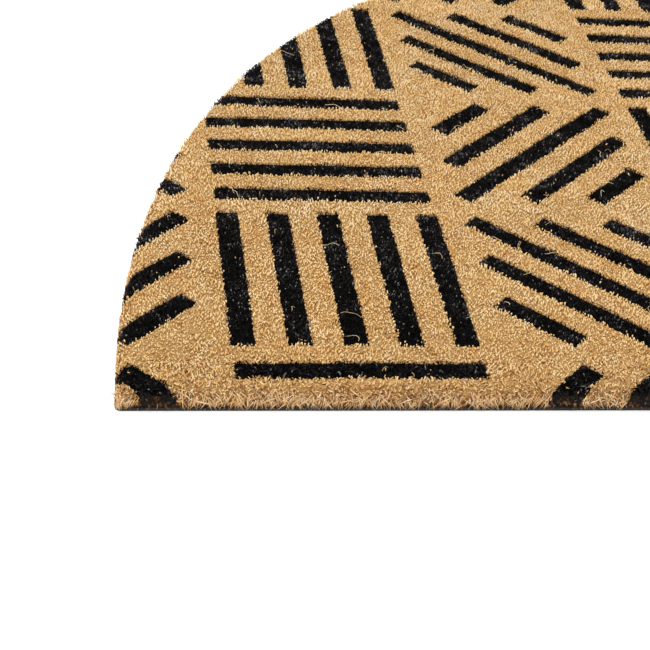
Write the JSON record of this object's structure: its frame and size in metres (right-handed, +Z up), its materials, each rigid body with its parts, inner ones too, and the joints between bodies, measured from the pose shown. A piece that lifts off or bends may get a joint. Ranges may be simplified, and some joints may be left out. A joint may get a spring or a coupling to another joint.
{
  "type": "half-round coir doormat",
  "caption": "Half-round doormat lying flat: a dense cut pile of natural coir on a thin PVC backing, straight along the front and curved at the back, for wiping shoes.",
  "frame": {"origin": "middle of the outline's box, on the face that lies on the floor", "axes": "+X along the straight front edge, to the right; +Y from the front edge to the curved back; +Z up out of the pile"},
  "size_m": [0.9, 0.6, 0.0139],
  "materials": {
    "coir": "matt cut coir pile in its natural tan",
    "dyed_coir": "matt coir pile dyed black, in the printed bars",
    "pvc": "matt black flexible sheet"
  },
  "bodies": {
    "root": {"coir_pile": "coir", "pvc_backing": "pvc"}
  },
  "joints": []
}
